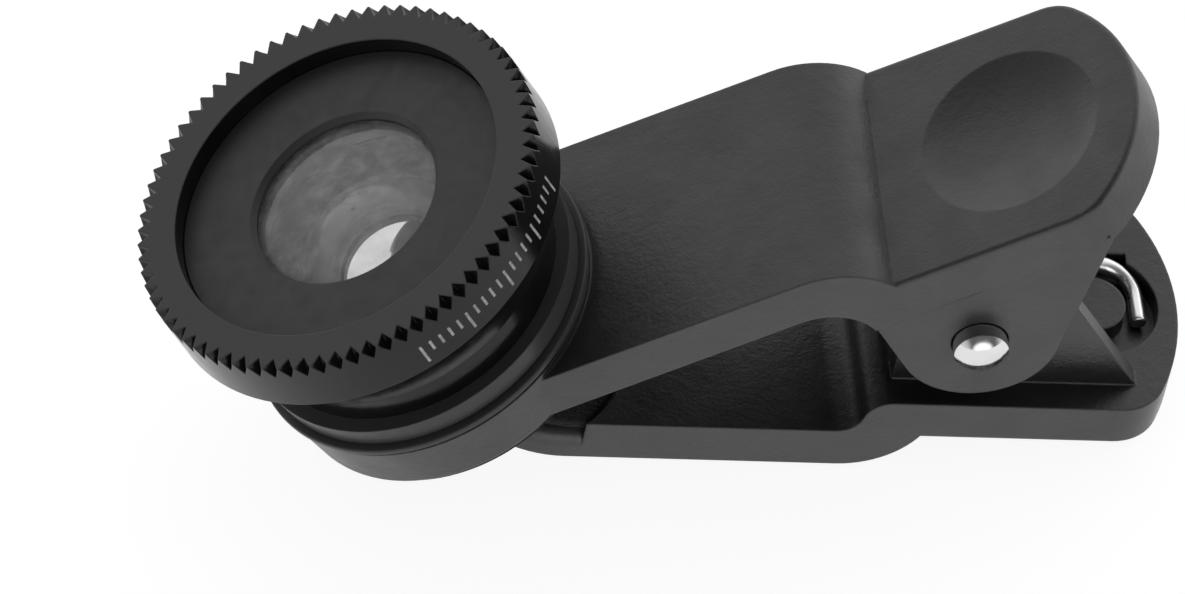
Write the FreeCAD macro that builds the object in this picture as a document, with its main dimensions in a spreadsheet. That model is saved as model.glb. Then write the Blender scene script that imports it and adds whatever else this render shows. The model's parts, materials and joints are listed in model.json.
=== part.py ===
import FreeCAD, Part
import math
import os

import Sketcher

# Driving sizes in millimetres and degrees.
# Arms, hinge and jaws
SIZES = {
    "arm_width": 16.1,
    "arm_angle": 33.9,
    "arm_thickness": 3.1,
    "arm_edge": 0.3,
    "hump_radius": 5.2,
    "pivot_reach": 29.44,
    "pivot_drop": 10.72,
    "seat_rise": 0.45,
    "crease_back": 2.14,
    "upper_step": 2.88,
    "upper_tail_thickness": 3.12,
    "upper_tab_reach": 14.06,
    "upper_tab_arc": 10.0,
    "tab_corner": 3.0,
    "throat_radius": 3.4,
    "ear_radius": 4.65,
    "ear_thickness": 1.5,
    "ear_inset": 0.2,
    "ear_slope": 47.3,
    "dish_reach": 6.06,
    "dish_radius": 5.5,
    "dish_depth": 1.0,
    "join": 0.4,
    "socket_reach": 8.5,
    "socket_radius": 3.9,
    "socket_depth": 1.3,
    "socket_boss": 2.0,
    "socket_slot_width": 1.8,
    "socket_slot_ahead": 2.4,
    "ring_top_radius": 10.3,
    "ring_foot_radius": 9.86,
    "ring_depth": 3.68,
    "ring_edge": 0.4,
    "thread_bore": 7.9,
    "lower_front_drop": 8.18,
    "lower_front_thickness": 2.9,
    "lower_tail_drop": 5.6,
    "lower_tail_thickness": 2.98,
    "lower_crease": 2.15,
    "lower_tab_reach": 13.51,
    "lower_tab_arc": 14.0,
    "swell_start": 4.0,
    "swell_ratio": 0.62,
    "tip_past": 0.1,
    "tip_corner": 7.0,
    "tip_nose": 1.1,
    "pad_recess": 1.0,
    "lug_head": 4.0,
    "lug_thickness": 1.2,
    "lug_gap": 0.25,
    "lug_corner_reach": 4.9,
    "lug_corner_rise": 2.35,
    "lug_back": 10.4,
    "pin_radius": 1.6,
    "pin_proud": 0.9,
    "pin_dome": 0.4,
    "pin_clearance": 0.08,
    "pin_fit": 0.02,
    "wire_radius": 0.47,
    "coil_radius": 2.5,
    "coil_pitch": 1.06,
    "coil_turns": 4,
    "foot_reach": 11.3,
    "foot_turn": 1.9,
    "foot_length": 4.0,
    "foot_lift": 0.1,
    "pad_thickness": 0.6,
    "pad_front": 1.0,
    "pad_side": 0.55,
    "pad_corner": 6.4,
    "pad_back": 18.45,
    "pad_back_arc": 10.5,
    "pad_gap": 0.35,
    "ring_pad_thickness": 0.5,
    "ring_pad_inner": 8.3,
    "ring_pad_outer": 9.4,
    # Lens barrel, measured up from the seat on the clip
    "lens_length": 12.45,
    "barrel_radius": 12.5,
    "band_length": 3.8,
    "band_break": 0.12,
    "recess_radius": 10.15,
    "recess_depth": 1.2,
    "undercut_top_radius": 12.1,
    "undercut_foot": 4.9,
    "undercut_foot_radius": 10.0,
    "undercut_bend": 9.0,
    "neck_radius": 9.3,
    "neck_step": 4.4,
    "tooth_count": 75,
    "tooth_depth": 0.75,
    "tooth_cutter": 0.86,
    "tooth_half_angle": 32.0,
    "flange_top": 2.3,
    "flange_foot": 0.9,
    "flange_top_radius": 10.18,
    "flange_foot_radius": 10.07,
    "groove_radius": 9.5,
    "groove_width": 0.2,
    "lip_radius": 10.5,
    "lip_foot": 0.28,
    "lip_round": 0.12,
    "seat_gap": 0.06,
    "collar_radius": 10.0,
    "thread_length": 1.95,
    "thread_clearance": 0.08,
    "thread_chamfer": 0.25,
    "spigot_radius": 7.2,
    "spigot_foot": -0.6,
    "fit": 0.04,
    # Glass and the rings that hold it
    "mask_hole": 5.65,
    "mask_thickness": 0.5,
    "mask_bevel": 0.3,
    "front_bore": 8.7,
    "shelf_depth": 7.44,
    "crown_depth": 1.15,
    "front_curve": 22.0,
    "front_bowl": 6.7,
    "front_bowl_radius": 6.0,
    "shelf_thickness": 0.85,
    "shelf_hole": 5.5,
    "stop_flange": 0.25,
    "stop_cone": 5.9,
    "stop_hole": 3.6,
    "stop_drop": 0.8,
    "stop_lip": 0.15,
    "rear_bore": 5.9,
    "middle_thickness": 1.5,
    "middle_curve": 14.0,
    "middle_land": 4.9,
    "gap_ring_height": 1.0,
    "gap_ring_hole": 4.6,
    "rear_thickness": 1.6,
    "rear_curve": 11.0,
    "rear_land": 4.9,
    "retainer_height": 1.0,
    "retainer_slot_width": 0.8,
    "retainer_slot_depth": 0.5,
    "front_ring_hole": 7.5,
}

doc = FreeCAD.newDocument("clip_on_lens")
sheet = doc.addObject("Spreadsheet::Sheet", "Sizes")
for row, (alias, number) in enumerate(SIZES.items(), start=1):
    sheet.set(f"A{row}", alias)
    sheet.set(f"B{row}", str(number))
    sheet.setAlias(f"B{row}", alias)
doc.recompute()


# Helpers for sketches, features and edges
def size(formula):
    """The value of a formula of sheet names."""
    return float(sheet.evalExpression(formula))


def new_body(label):
    body = doc.addObject("PartDesign::Body", label)
    body.Label = label
    return body


def plane_of(body, role):
    return next(item for item in body.Origin.OriginFeatures if item.Role == role)


def new_sketch(body, name, role):
    sketch = body.newObject("Sketcher::SketchObject", name)
    sketch.AttachmentSupport = [(plane_of(body, role), "")]
    sketch.MapMode = "FlatFace"
    return sketch


def add_arc(sketch, start, end, bend):
    """An arc from start to end, counterclockwise for a positive radius. Returns its two ends."""
    radius = abs(bend)
    chord = end - start
    rise = math.sqrt(max(radius ** 2 - (chord.Length / 2) ** 2, 0.0))
    left = FreeCAD.Vector(-chord.y, chord.x, 0).normalize()
    centre = (start + end) / 2 + left * math.copysign(rise, bend)
    first, last = (start, end) if bend > 0 else (end, start)
    angles = [math.atan2(point.y - centre.y, point.x - centre.x) for point in (first, last)]
    circle = Part.Circle(centre, FreeCAD.Vector(0, 0, 1), radius)
    number = sketch.addGeometry(Part.ArcOfCircle(circle, angles[0], angles[1]), False)
    held = sketch.addConstraint(Sketcher.Constraint("Radius", number, radius))
    return number, held, (1, 2) if bend > 0 else (2, 1)


def outline(sketch, corners):
    """A closed outline whose corners are formulas: x, y and, for an edge that bends, its radius."""
    places = [FreeCAD.Vector(size(corner[0]), size(corner[1]), 0) for corner in corners]
    ends = []
    for number, corner in enumerate(corners):
        start = places[number]
        end = places[(number + 1) % len(corners)]
        if len(corner) == 3:
            edge, held, order = add_arc(sketch, start, end, size(corner[2]))
            sketch.setExpression(f"Constraints[{held}]", f"abs({corner[2]})")
        else:
            edge = sketch.addGeometry(Part.LineSegment(start, end), False)
            order = (1, 2)
        ends.append((edge, order))
    for number, (edge, order) in enumerate(ends):
        following, next_order = ends[(number + 1) % len(ends)]
        sketch.addConstraint(Sketcher.Constraint("Coincident", edge, order[1], following, next_order[0]))
        for kind, formula in zip(("DistanceX", "DistanceY"), corners[number]):
            value = size(formula)
            held = sketch.addConstraint(Sketcher.Constraint(kind, -1, 1, edge, order[0], value))
            sketch.setExpression(f"Constraints[{held}]", formula)


def circle_on(sketch, x, y, radius):
    centre = FreeCAD.Vector(size(x), size(y), 0)
    circle = Part.Circle(centre, FreeCAD.Vector(0, 0, 1), size(radius))
    edge = sketch.addGeometry(circle, False)
    for kind, formula in (("DistanceX", x), ("DistanceY", y)):
        held = sketch.addConstraint(Sketcher.Constraint(kind, -1, 1, edge, 3, size(formula)))
        sketch.setExpression(f"Constraints[{held}]", formula)
    held = sketch.addConstraint(Sketcher.Constraint("Radius", edge, size(radius)))
    sketch.setExpression(f"Constraints[{held}]", radius)


def pad(body, name, sketch, length):
    """A pad of the sketch to both sides of its plane."""
    feature = body.newObject("PartDesign::Pad", name)
    feature.Profile = sketch
    feature.SideType = "Symmetric"
    feature.setExpression("Length", length)
    return feature


def pocket(body, name, sketch, length=None, reverse=False):
    """A pocket to both sides of the sketch, or to one side for a stated length."""
    before = body.Shape.Volume if body.Shape and not body.Shape.isNull() else 0
    feature = body.newObject("PartDesign::Pocket", name)
    feature.Profile = sketch
    if length is None:
        feature.Type = "ThroughAll"
        feature.SideType = "Symmetric"
    else:
        feature.setExpression("Length", length)
        feature.Reversed = reverse
    doc.recompute()
    if body.Shape.Volume > before - 1e-4:
        raise RuntimeError(f"{name} cut nothing")
    return feature


def turned(body, name, corners, cut=False):
    """A solid of revolution about the body's Z axis, or a groove when cut is set."""
    sketch = new_sketch(body, f"{name}_profile", "XZ_Plane")
    outline(sketch, corners)
    feature = body.newObject("PartDesign::Groove" if cut else "PartDesign::Revolution", name)
    feature.Profile = sketch
    feature.ReferenceAxis = (sketch, ["V_Axis"])
    feature.Angle = 360
    doc.recompute()
    return feature


def dress(body, kind, name, base, chosen, radius):
    """A fillet or chamfer on the edges of base for which chosen is true."""
    doc.recompute()
    edges = [f"Edge{n}" for n, edge in enumerate(base.Shape.Edges, start=1) if chosen(edge)]
    if not edges:
        raise RuntimeError(f"{name} found no edge")
    feature = body.newObject(f"PartDesign::{kind}", name)
    feature.Base = (base, edges)
    feature.setExpression("Radius" if kind == "Fillet" else "Size", radius)
    doc.recompute()
    return feature


def upright(edge):
    """True for a straight edge along Z."""
    ends = [vertex.Point for vertex in edge.Vertexes]
    if len(ends) != 2:
        return False
    span = ends[1] - ends[0]
    return math.hypot(span.x, span.y) < 1e-4 and abs(span.z) > 1e-3


def at_height(edge, height):
    box = edge.BoundBox
    return abs(box.ZMin - height) < 1e-3 and abs(box.ZMax - height) < 1e-3


# Shared formulas
def step_back(radius, step):
    """How far before the crease a hump of this radius starts to fall by this step."""
    return f"sqrt({radius}^2 - ({radius} - {step})^2)"


WIDTH = "Sizes.arm_width"
HALF = "Sizes.arm_width / 2"
SEAT = "-Sizes.seat_rise"
UPPER_TAIL = "(-Sizes.seat_rise - Sizes.upper_step)"
UPPER_TAIL_UNDER = f"({UPPER_TAIL} - Sizes.upper_tail_thickness)"
UPPER_FRONT_UNDER = "(-Sizes.seat_rise - Sizes.arm_thickness)"
UPPER_END = "(Sizes.pivot_reach + Sizes.upper_tab_reach)"
PIVOT_HEIGHT = "-Sizes.pivot_drop"
CREASE = "(Sizes.pivot_reach - Sizes.crease_back)"
TIP = "(-Sizes.pivot_reach - Sizes.tip_past)"
EAR_OUT = "(Sizes.arm_width / 2 - Sizes.ear_inset)"
EAR_IN = f"({EAR_OUT} - Sizes.ear_thickness)"
LUG_OUT = f"({EAR_IN} - Sizes.lug_gap)"
LUG_IN = f"({LUG_OUT} - Sizes.lug_thickness)"
LOWER_FRONT = "(-Sizes.lower_front_drop)"
LOWER_FRONT_UNDER = "(-Sizes.lower_front_drop - Sizes.lower_front_thickness)"
LOWER_TAIL = "(-Sizes.lower_tail_drop)"
LOWER_TAIL_UNDER = "(-Sizes.lower_tail_drop - Sizes.lower_tail_thickness)"
PAD_FLOOR = "(-Sizes.lower_front_drop - Sizes.pad_recess)"


def round_tab(body, name, end, arc):
    """Cut the end of an arm to a shallow arc, before its corners are rounded."""
    sketch = new_sketch(body, f"{name}_plan", "XY_Plane")
    sag = f"({arc} - sqrt({arc}^2 - ({HALF})^2))"
    outline(sketch, [
        (f"{end} - {sag}", f"-({HALF})", arc),
        (end, "0", arc),
        (f"{end} - {sag}", HALF),
        (f"{end} - {sag}", f"{HALF} + 1"),
        (f"{end} + 1", f"{HALF} + 1"),
        (f"{end} + 1", f"-({HALF}) - 1"),
        (f"{end} - {sag}", f"-({HALF}) - 1"),
    ])
    return pocket(body, name, sketch)


def spring_socket(body, name, centre, level, inward, side):
    """A round pocket round a boss in a tab's inner face, with a slot that leads the spring's leg in."""
    sketch = new_sketch(body, f"{name}_plan", "XY_Plane")
    sketch.setExpression("AttachmentOffset.Base.z", level)
    circle_on(sketch, centre, "0", "Sizes.socket_radius")
    circle_on(sketch, centre, "0", "Sizes.socket_boss")
    pocket(body, name, sketch, "Sizes.socket_depth", reverse=inward)
    slot = new_sketch(body, f"{name}_slot_plan", "XY_Plane")
    slot.setExpression("AttachmentOffset.Base.z", level)
    near = f"({side} * Sizes.socket_boss)"
    far = f"({side} * (Sizes.socket_boss + Sizes.socket_slot_width))"
    outline(slot, [
        (f"{centre} - Sizes.socket_radius", near),
        (f"{centre} + Sizes.socket_slot_ahead", near),
        (f"{centre} + Sizes.socket_slot_ahead", far),
        (f"{centre} - Sizes.socket_radius", far),
    ])
    return pocket(body, f"{name}_slot", slot, "Sizes.socket_depth", reverse=inward)


def dish(body, name, centre, level, outward):
    """The shallow round hollow for a thumb: part of a ball cut out of the outer face of a tab."""
    ball = "((Sizes.dish_radius^2 + Sizes.dish_depth^2) / (2 * Sizes.dish_depth))"
    sketch = new_sketch(body, f"{name}_profile", "XZ_Plane")
    rim = f"({level} + {outward} * Sizes.join)"
    low = f"({level} - {outward} * Sizes.dish_depth)"
    spread = f"sqrt({ball}^2 - ({ball} - Sizes.dish_depth - Sizes.join)^2)"
    outline(sketch, [
        (centre, rim),
        (centre, low, f"{outward} * {ball}"),
        (f"{centre} + {spread}", rim),
    ])
    axis = sketch.addGeometry(Part.LineSegment(
        FreeCAD.Vector(size(centre), size(low), 0), FreeCAD.Vector(size(centre), size(rim), 0)), True)
    sketch.addConstraint(Sketcher.Constraint("Coincident", axis, 1, 0, 2))
    sketch.addConstraint(Sketcher.Constraint("Coincident", axis, 2, 0, 1))
    feature = body.newObject("PartDesign::Groove", name)
    feature.Profile = sketch
    feature.ReferenceAxis = (sketch, ["Axis0"])
    feature.Angle = 360
    before = body.Shape.Volume
    doc.recompute()
    if body.Shape.Volume > before - 1e-3:
        raise RuntimeError(f"{name} cut nothing")
    return feature


def pin_hole(body, name, x, z, radius):
    sketch = new_sketch(body, f"{name}_circle", "XZ_Plane")
    circle_on(sketch, x, z, radius)
    return pocket(body, name, sketch)


# Upper arm: lens seat at the origin, thumb tab along +X
def make_upper_arm():
    body = new_body("upper_arm")
    side = new_sketch(body, "upper_side", "XZ_Plane")
    hump_start = f"({CREASE} - {step_back('Sizes.hump_radius', 'Sizes.upper_step')})"
    ear_front = "(Sizes.pivot_reach - Sizes.ear_radius)"
    throat_start = f"({ear_front} - Sizes.throat_radius)"
    throat_fall = f"({UPPER_FRONT_UNDER} - {UPPER_TAIL_UNDER})"
    throat_end = f"({throat_start} + {step_back('Sizes.throat_radius', throat_fall)})"
    outline(side, [
        ("0", SEAT),
        ("0", UPPER_FRONT_UNDER),
        (throat_start, UPPER_FRONT_UNDER, "-Sizes.throat_radius"),
        (throat_end, UPPER_TAIL_UNDER),
        (UPPER_END, UPPER_TAIL_UNDER),
        (UPPER_END, UPPER_TAIL),
        (CREASE, UPPER_TAIL, "Sizes.hump_radius"),
        (hump_start, SEAT),
    ])
    pad(body, "upper_plate", side, WIDTH)
    doc.recompute()
    plan = round_tab(body, "upper_tab", UPPER_END, "Sizes.upper_tab_arc")
    far = size("Sizes.pivot_reach")
    rounded = dress(body, "Fillet", "upper_tab_corners", plan,
                    lambda edge: upright(edge) and edge.CenterOfMass.x > far
                    and abs(edge.CenterOfMass.y) > 1, "Sizes.tab_corner")
    reach = size(CREASE)
    tail = size(UPPER_TAIL)
    dress(body, "Fillet", "upper_rim", rounded,
          lambda edge: at_height(edge, tail) and edge.CenterOfMass.x > reach + 1e-3,
          "Sizes.arm_edge")
    ears = new_sketch(body, "ear_side", "XZ_Plane")
    across = f"(Sizes.ear_radius * sin(Sizes.ear_slope * 1deg))"
    along = f"(Sizes.ear_radius * cos(Sizes.ear_slope * 1deg))"
    rise = f"({UPPER_TAIL_UNDER} + Sizes.pivot_drop + {along})"
    outline(ears, [
        (ear_front, f"{UPPER_TAIL_UNDER} + Sizes.join"),
        (ear_front, PIVOT_HEIGHT, "Sizes.ear_radius"),
        ("Sizes.pivot_reach", f"{PIVOT_HEIGHT} - Sizes.ear_radius", "Sizes.ear_radius"),
        (f"Sizes.pivot_reach + {across}", f"{PIVOT_HEIGHT} - {along}"),
        (f"Sizes.pivot_reach + {across} + {rise} / tan(Sizes.ear_slope * 1deg)", UPPER_TAIL_UNDER),
        (f"Sizes.pivot_reach + {across} + {rise} / tan(Sizes.ear_slope * 1deg)",
         f"{UPPER_TAIL_UNDER} + Sizes.join"),
    ])
    pad(body, "ears", ears, f"2 * {EAR_OUT}")
    doc.recompute()
    between = new_sketch(body, "ear_gap_side", "XZ_Plane")
    outline(between, [
        (f"{ear_front} - 1", UPPER_TAIL_UNDER),
        (f"{ear_front} - 1", f"{PIVOT_HEIGHT} - 2 * Sizes.ear_radius"),
        (f"{UPPER_END} + 1", f"{PIVOT_HEIGHT} - 2 * Sizes.ear_radius"),
        (f"{UPPER_END} + 1", UPPER_TAIL_UNDER),
    ])
    gap = body.newObject("PartDesign::Pocket", "ear_gap")
    gap.Profile = between
    gap.SideType = "Symmetric"
    gap.setExpression("Length", f"2 * {EAR_IN}")
    doc.recompute()
    turned(body, "ring", [
        ("0", "0"),
        ("0", "-Sizes.ring_depth"),
        ("Sizes.ring_foot_radius - Sizes.ring_edge", "-Sizes.ring_depth", "Sizes.ring_edge"),
        ("Sizes.ring_foot_radius", "Sizes.ring_edge - Sizes.ring_depth"),
        ("Sizes.ring_top_radius", "0"),
    ])
    bore = new_sketch(body, "thread_bore_circle", "XY_Plane")
    circle_on(bore, "0", "0", "Sizes.thread_bore")
    pocket(body, "thread_bore_cut", bore)
    pin_hole(body, "ear_holes", "Sizes.pivot_reach", PIVOT_HEIGHT,
             "Sizes.pin_radius + Sizes.pin_clearance")
    spring_socket(body, "upper_socket", "Sizes.pivot_reach + Sizes.socket_reach",
                  UPPER_TAIL_UNDER, True, "-1")
    dish(body, "upper_dish", "Sizes.pivot_reach + Sizes.dish_reach", UPPER_TAIL, "1")
    return body


def pad_plan(front, half, gap):
    """Plan of the pad, or of its recess: straight in front, bulging to an arc behind."""
    arc = f"(Sizes.pad_back_arc + {gap})"
    back = f"({gap} - Sizes.pad_back)"
    shoulder = f"({back} - {arc} + sqrt({arc}^2 - {half}^2))"
    return [
        (front, f"-{half}"),
        (shoulder, f"-{half}", arc),
        (back, "0", arc),
        (shoulder, half),
        (front, half),
    ]


# Lower arm: hinge axis at the origin, finger tab along +X
def make_lower_arm():
    body = new_body("lower_arm")
    side = new_sketch(body, "lower_side", "XZ_Plane")
    lower_step = f"({LOWER_TAIL_UNDER} - {LOWER_FRONT_UNDER})"
    hump_start = f"(-Sizes.lower_crease - {step_back('Sizes.hump_radius', lower_step)})"
    rise = f"({LOWER_TAIL} - {LOWER_FRONT})"
    swell = f"({rise} * Sizes.swell_ratio)"
    run = f"sqrt(4 * {swell} * {rise} - {rise}^2)"
    outline(side, [
        (TIP, LOWER_FRONT_UNDER),
        (hump_start, LOWER_FRONT_UNDER, "Sizes.hump_radius"),
        ("-Sizes.lower_crease", LOWER_TAIL_UNDER),
        ("Sizes.lower_tab_reach", LOWER_TAIL_UNDER),
        ("Sizes.lower_tab_reach", LOWER_TAIL),
        ("-Sizes.swell_start", LOWER_TAIL, swell),
        (f"-Sizes.swell_start - {run} / 2", f"{LOWER_TAIL} - {rise} / 2", f"-{swell}"),
        (f"-Sizes.swell_start - {run}", LOWER_FRONT),
        (TIP, LOWER_FRONT),
    ])
    pad(body, "lower_plate", side, WIDTH)
    doc.recompute()
    plan = round_tab(body, "lower_tab", "Sizes.lower_tab_reach", "Sizes.lower_tab_arc")
    tab = dress(body, "Fillet", "lower_tab_corners", plan,
                lambda edge: upright(edge) and edge.CenterOfMass.x > 1
                and abs(edge.CenterOfMass.y) > 1, "Sizes.tab_corner")
    tip = size(TIP)
    nose = dress(body, "Fillet", "tip_corners", tab,
                 lambda edge: upright(edge) and abs(edge.CenterOfMass.x - tip) < 1e-3, "Sizes.tip_corner")
    recess = new_sketch(body, "pad_recess_plan", "XY_Plane")
    recess.setExpression("AttachmentOffset.Base.z", LOWER_FRONT)
    outline(recess, pad_plan(f"{TIP} - 1", f"({HALF} + 1)", "Sizes.pad_gap"))
    nose = pocket(body, "pad_recess_cut", recess, "Sizes.pad_recess")
    floor = size(PAD_FLOOR)
    nose = dress(body, "Fillet", "tip_nose_round", nose,
                 lambda edge: at_height(edge, floor)
                 and edge.CenterOfMass.x < tip + size("Sizes.tip_corner"), "Sizes.tip_nose")
    under = size(LOWER_TAIL_UNDER)
    crease = size("-Sizes.lower_crease")
    dress(body, "Fillet", "lower_rim", nose,
          lambda edge: at_height(edge, under) and edge.CenterOfMass.x > crease + 1e-3,
          "Sizes.arm_edge")
    lugs = new_sketch(body, "lug_side", "XZ_Plane")
    outline(lugs, [
        ("-Sizes.lug_head", f"{LOWER_TAIL} - Sizes.join"),
        ("Sizes.lug_back", f"{LOWER_TAIL} - Sizes.join"),
        ("Sizes.lug_back", LOWER_TAIL),
        ("Sizes.lug_corner_reach", "Sizes.lug_corner_rise"),
        ("0", "Sizes.lug_head", "Sizes.lug_head"),
        ("-Sizes.lug_head", "0"),
    ])
    pad(body, "lugs", lugs, f"2 * {LUG_OUT}")
    doc.recompute()
    between = new_sketch(body, "lug_gap_side", "XZ_Plane")
    outline(between, [
        ("-Sizes.lug_head - 1", LOWER_TAIL),
        ("Sizes.lug_back + 1", LOWER_TAIL),
        ("Sizes.lug_back + 1", "Sizes.lug_head + 1"),
        ("-Sizes.lug_head - 1", "Sizes.lug_head + 1"),
    ])
    gap = body.newObject("PartDesign::Pocket", "lug_gap_cut")
    gap.Profile = between
    gap.SideType = "Symmetric"
    gap.setExpression("Length", f"2 * {LUG_IN}")
    doc.recompute()
    pin_hole(body, "lug_holes", "0", "0", "Sizes.pin_radius + Sizes.pin_fit")
    spring_socket(body, "lower_socket", "Sizes.socket_reach", LOWER_TAIL, False, "1")
    dish(body, "lower_dish", "Sizes.dish_reach", LOWER_TAIL_UNDER, "-1")
    return body


# Steel pin through ears and lugs, with a low dome at each end
def make_pivot_pin():
    body = new_body("pivot_pin")
    sketch = new_sketch(body, "pin_profile", "XY_Plane")
    reach = f"({EAR_OUT} + Sizes.pin_proud)"
    dome = "((Sizes.pin_radius^2 + Sizes.pin_dome^2) / (2 * Sizes.pin_dome))"
    outline(sketch, [
        ("0", f"-{reach} - Sizes.pin_dome", dome),
        ("Sizes.pin_radius", f"-{reach}"),
        ("Sizes.pin_radius", reach, dome),
        ("0", f"{reach} + Sizes.pin_dome"),
    ])
    feature = body.newObject("PartDesign::Revolution", "pin")
    feature.Profile = sketch
    feature.ReferenceAxis = (sketch, ["V_Axis"])
    feature.Angle = 360
    doc.recompute()
    return body


# Torsion spring: one foot in each tab's socket, the coil round the pin
def spring_point(reach, lift, y, angle):
    """A point in a tab's own plane, turned about the hinge into the lower arm's frame."""
    turn = math.radians(angle)
    x = reach * math.cos(turn) - lift * math.sin(turn)
    z = reach * math.sin(turn) + lift * math.cos(turn)
    return FreeCAD.Vector(x, y, z)


def leg(coil_end, corner, foot_end, turn_radius):
    """The straight leg, its bend and its foot, as edges from the coil outwards."""
    toward = (coil_end - corner).normalize()
    away = (foot_end - corner).normalize()
    half = toward.getAngle(away) / 2
    back = turn_radius / math.tan(half)
    first = corner + toward * back
    last = corner + away * back
    middle_way = (toward + away).normalize()
    middle = corner + middle_way * (turn_radius / math.sin(half) - turn_radius)
    return [Part.makeLine(coil_end, first), Part.Arc(first, middle, last).toShape(),
            Part.makeLine(last, foot_end)]


def spring_path():
    coil = size("Sizes.coil_radius")
    wire = size("Sizes.wire_radius")
    reach = size("Sizes.foot_reach")
    lift = size("Sizes.socket_depth") - wire - size("Sizes.foot_lift")
    low_lift = -size("Sizes.lower_tail_drop") - lift
    high_lift = size(f"{UPPER_TAIL_UNDER} + Sizes.pivot_drop") + lift
    angle = size("Sizes.arm_angle")
    low = spring_point(reach, low_lift, 0, 0)
    high = spring_point(reach, high_lift, 0, angle)
    low_turn = math.atan2(low.z, low.x) - math.acos(coil / math.hypot(low.x, low.z))
    high_turn = math.atan2(high.z, high.x) + math.acos(coil / math.hypot(high.x, high.z))
    turned_by = low_turn + 2 * math.pi - high_turn + 2 * math.pi * size("Sizes.coil_turns")
    pitch = size("Sizes.coil_pitch")
    height = pitch * turned_by / (2 * math.pi)
    helix = Part.makeHelix(pitch, height, coil)
    helix.rotate(FreeCAD.Vector(0, 0, 0), FreeCAD.Vector(1, 0, 0), 90)
    helix.rotate(FreeCAD.Vector(0, 0, 0), FreeCAD.Vector(0, 1, 0), -math.degrees(high_turn))
    helix.translate(FreeCAD.Vector(0, height / 2, 0))
    foot = size("Sizes.foot_length")
    edges = []
    for point, turn, y, way in ((high, high_turn, height / 2, -1), (low, low_turn, -height / 2, 1)):
        start = FreeCAD.Vector(coil * math.cos(turn), y, coil * math.sin(turn))
        slope = -way * pitch / (2 * math.pi * coil)
        span = math.hypot(point.x - start.x, point.z - start.z)
        corner = FreeCAD.Vector(point.x, y + slope * span, point.z)
        end = FreeCAD.Vector(corner.x, corner.y + way * foot, corner.z)
        edges.append(leg(start, corner, end, size("Sizes.foot_turn")))
    path = Part.Wire(Part.__sortEdges__(edges[0] + helix.Edges + edges[1]))
    return path.mirror(FreeCAD.Vector(0, 0, 0), FreeCAD.Vector(0, 1, 0))


def make_torsion_spring():
    path = spring_path()
    first = path.Edges[0]
    start = first.valueAt(first.FirstParameter)
    way = first.tangentAt(first.FirstParameter)
    ring = Part.Wire(Part.makeCircle(size("Sizes.wire_radius"), start, way))
    feature = doc.addObject("Part::Feature", "torsion_spring")
    feature.Label = "torsion_spring"
    feature.Shape = path.makePipeShell([ring], True, False, 2)
    return feature


# Foam pads
def make_lower_jaw_pad():
    body = new_body("lower_jaw_pad")
    sketch = new_sketch(body, "lower_pad_plan", "XY_Plane")
    sketch.setExpression("AttachmentOffset.Base.z", PAD_FLOOR)
    front = f"({TIP} + Sizes.pad_front)"
    half = f"({HALF} - Sizes.pad_side)"
    outline(sketch, pad_plan(front, half, "0"))
    feature = body.newObject("PartDesign::Pad", "lower_pad")
    feature.Profile = sketch
    feature.setExpression("Length", "Sizes.pad_thickness")
    nose = size(front)
    dress(body, "Fillet", "lower_pad_corners", feature,
          lambda edge: upright(edge) and abs(edge.CenterOfMass.x - nose) < 1e-3, "Sizes.pad_corner")
    return body


def make_upper_jaw_pad():
    body = new_body("upper_jaw_pad")
    turned(body, "ring_pad", [
        ("Sizes.ring_pad_inner", "-Sizes.ring_depth - Sizes.ring_pad_thickness"),
        ("Sizes.ring_pad_outer", "-Sizes.ring_depth - Sizes.ring_pad_thickness"),
        ("Sizes.ring_pad_outer", "-Sizes.ring_depth"),
        ("Sizes.ring_pad_inner", "-Sizes.ring_depth"),
    ])
    return body


# Lens: every piece is turned about the Z axis, with the seat on the clip at height 0
BAND_FOOT = "(Sizes.lens_length - Sizes.band_length)"
FRONT_SHELF = "(Sizes.lens_length - Sizes.shelf_depth)"
FRONT_CROWN = "(Sizes.lens_length - Sizes.crown_depth)"
STOP_FOOT = f"({FRONT_SHELF} + Sizes.fit)"


def make_mount_ring():
    body = new_body("mount_ring")
    thread = "(Sizes.thread_bore - Sizes.thread_clearance)"
    turned(body, "mount_turning", [
        ("Sizes.spigot_radius + Sizes.fit", "Sizes.flange_top"),
        ("Sizes.spigot_radius + Sizes.fit", "Sizes.spigot_foot"),
        ("Sizes.rear_bore", "Sizes.spigot_foot"),
        ("Sizes.rear_bore", "-Sizes.thread_length"),
        (f"{thread} - Sizes.thread_chamfer", "-Sizes.thread_length"),
        (thread, "-Sizes.thread_length + Sizes.thread_chamfer"),
        (thread, "Sizes.seat_gap"),
        ("Sizes.collar_radius", "Sizes.seat_gap"),
        ("Sizes.collar_radius", "Sizes.lip_foot"),
        ("Sizes.lip_radius - Sizes.lip_round", "Sizes.lip_foot", "Sizes.lip_round"),
        ("Sizes.lip_radius", "Sizes.lip_foot + Sizes.lip_round"),
        ("Sizes.lip_radius", "Sizes.flange_foot - Sizes.groove_width - Sizes.lip_round",
         "Sizes.lip_round"),
        ("Sizes.lip_radius - Sizes.lip_round", "Sizes.flange_foot - Sizes.groove_width"),
        ("Sizes.groove_radius", "Sizes.flange_foot - Sizes.groove_width"),
        ("Sizes.groove_radius", "Sizes.flange_foot"),
        ("Sizes.flange_foot_radius", "Sizes.flange_foot"),
        ("Sizes.flange_top_radius", "Sizes.flange_top"),
    ])
    return body


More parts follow.
